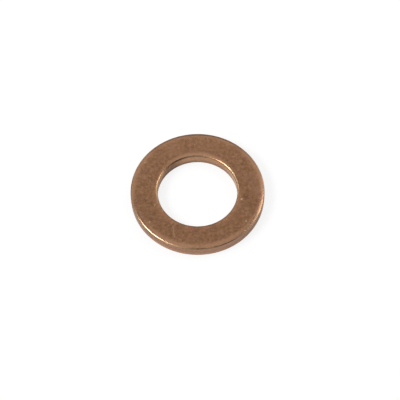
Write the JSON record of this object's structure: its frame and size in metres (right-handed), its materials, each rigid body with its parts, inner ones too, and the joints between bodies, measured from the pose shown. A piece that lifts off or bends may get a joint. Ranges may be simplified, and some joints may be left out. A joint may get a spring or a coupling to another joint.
{
  "type": "copper crush washer",
  "caption": "Flat round sealing ring of soft copper with a plain central bore, squeezed under a bolt head or banjo fitting to seal the joint.",
  "frame": {"origin": "on the ring's axis, level with the lower face", "axes": "+Z along the axis, from the lower face to the rolled-over upper face; X and Y are free on a round ring"},
  "size_m": [0.0162, 0.0162, 0.0016],
  "materials": {
    "copper": "dull copper, browned by handling, with brighter worn edges"
  },
  "bodies": {
    "root": {"copper_ring": "copper"}
  },
  "joints": []
}
